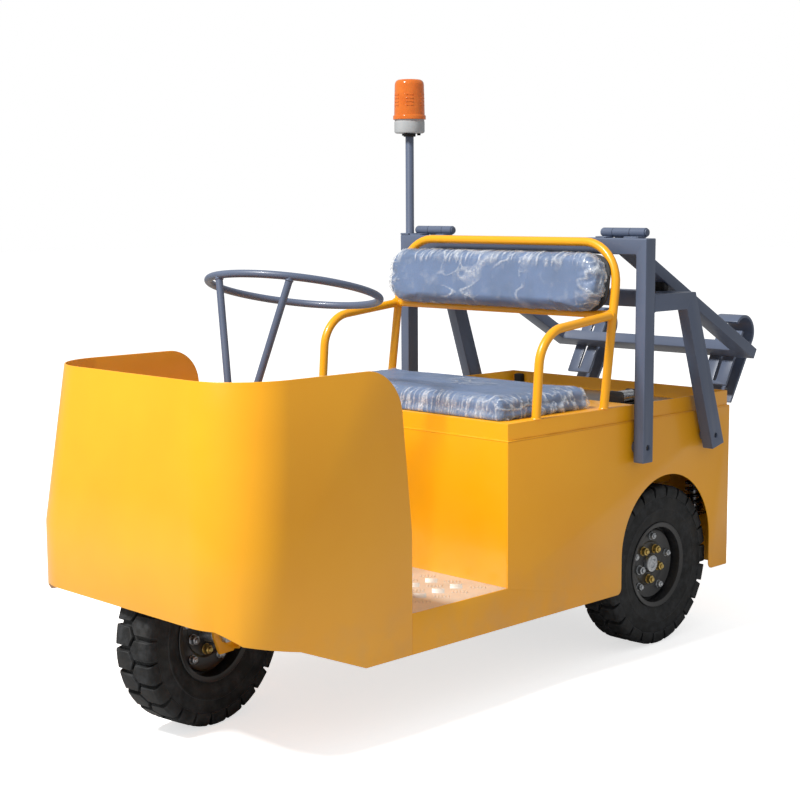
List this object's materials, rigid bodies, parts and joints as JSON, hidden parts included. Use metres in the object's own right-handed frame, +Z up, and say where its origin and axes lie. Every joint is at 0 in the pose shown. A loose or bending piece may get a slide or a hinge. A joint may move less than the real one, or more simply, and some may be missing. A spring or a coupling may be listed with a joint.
{
  "type": "airport baggage tug",
  "caption": "Three-wheeled electric baggage tug with a bench seat, ring handlebar, round-nosed cowl, load tray, flashing beacon and a hinged rear frame with trolley hooks.",
  "frame": {"origin": "on the floor, below the middle of the overall box", "axes": "+X forward, +Y to the driver's left, +Z up"},
  "size_m": [1.9673, 0.8716, 1.4769],
  "materials": {
    "battery_case": "matte",
    "blue_grey_paint": "gloss",
    "blue_vinyl": "satin",
    "board_plastic": "matte",
    "dark_paint": "satin",
    "deck_steel": "satin",
    "lamp_base": "satin",
    "lamp_dome": "gloss",
    "motor_case": "matte",
    "pad_rubber": "matte",
    "tyre_rubber": "matte",
    "yellow_paint": "gloss",
    "zinc_steel": "satin"
  },
  "bodies": {
    "chassis": {"chassis_frame": "yellow_paint", "floor_plate": "yellow_paint", "side_panel_left": "yellow_paint", "side_panel_right": "yellow_paint", "box_front_panel": "yellow_paint", "box_rear_panel": "yellow_paint", "box_rim": "yellow_paint", "seat_board": "yellow_paint", "deck_plate": "deck_steel", "cowl": "yellow_paint", "wheel_box": "yellow_paint", "head_bearing": "yellow_paint", "steering_box": "yellow_paint", "battery": "battery_case", "drive_motor": "motor_case", "rear_axle": "dark_paint", "trailing_arms": "dark_paint", "spring_left": "dark_paint", "spring_right": "dark_paint", "portal_frame": "blue_grey_paint", "rear_stays": "blue_grey_paint", "hinge_leaves": "blue_grey_paint", "rest_pads": "pad_rubber", "seat_frame": "yellow_paint", "seat_cushion": "blue_vinyl", "backrest_board": "board_plastic", "backrest_cushion": "blue_vinyl", "beacon_pole": "blue_grey_paint", "beacon_base": "lamp_base", "beacon_dome": "lamp_dome", "tow_hitch": "yellow_paint", "foot_pedals": "dark_paint"},
    "handlebar": {"steering_column": "blue_grey_paint", "steering_ring": "blue_grey_paint"},
    "front_fork": {"front_fork": "yellow_paint", "front_axle": "zinc_steel"},
    "front_wheel": {"front_tyre": "tyre_rubber", "front_rim": "dark_paint", "front_hub": "dark_paint"},
    "rear_left_wheel": {"rear_left_tyre": "tyre_rubber", "rear_left_rim": "dark_paint", "rear_left_hub": "dark_paint"},
    "rear_right_wheel": {"rear_right_tyre": "tyre_rubber", "rear_right_rim": "dark_paint", "rear_right_hub": "dark_paint"},
    "lift_frame": {"lift_frame": "blue_grey_paint", "hook_left": "blue_grey_paint", "hook_right": "blue_grey_paint"}
  },
  "joints": [
    {"name": "fork_turn", "type": "hinge", "parent": "chassis", "child": "front_fork", "pos_m": [0.77353, 0.01375, 0.435], "axis": [0, 0, 1], "range_deg": [-37.2, 22.8]},
    {"name": "handlebar_turn", "type": "hinge", "parent": "chassis", "child": "handlebar", "pos_m": [0.66153, 0.01375, 0.532], "axis": [0, 0, 1], "range_deg": [-93, 57]},
    {"name": "front_wheel_spin", "type": "hinge", "parent": "front_fork", "child": "front_wheel", "pos_m": [0.77353, 0.01375, 0.2075], "axis": [-0.1253, 0.9921, 0], "continuous": true},
    {"name": "rear_left_wheel_spin", "type": "hinge", "parent": "chassis", "child": "rear_left_wheel", "pos_m": [-0.43147, 0.32675, 0.2075], "axis": [0, 1, 0], "continuous": true},
    {"name": "rear_right_wheel_spin", "type": "hinge", "parent": "chassis", "child": "rear_right_wheel", "pos_m": [-0.43147, -0.29925, 0.2075], "axis": [0, 1, 0], "continuous": true},
    {"name": "lift_frame_hinge", "type": "hinge", "parent": "chassis", "child": "lift_frame", "pos_m": [-0.31647, 0.01375, 1.0635], "axis": [0, 1, 0], "range_deg": [0, 110]}
  ],
  "couplings": [
    {"joint": "handlebar_turn", "follows": "fork_turn", "ratio": 2.5}
  ]
}
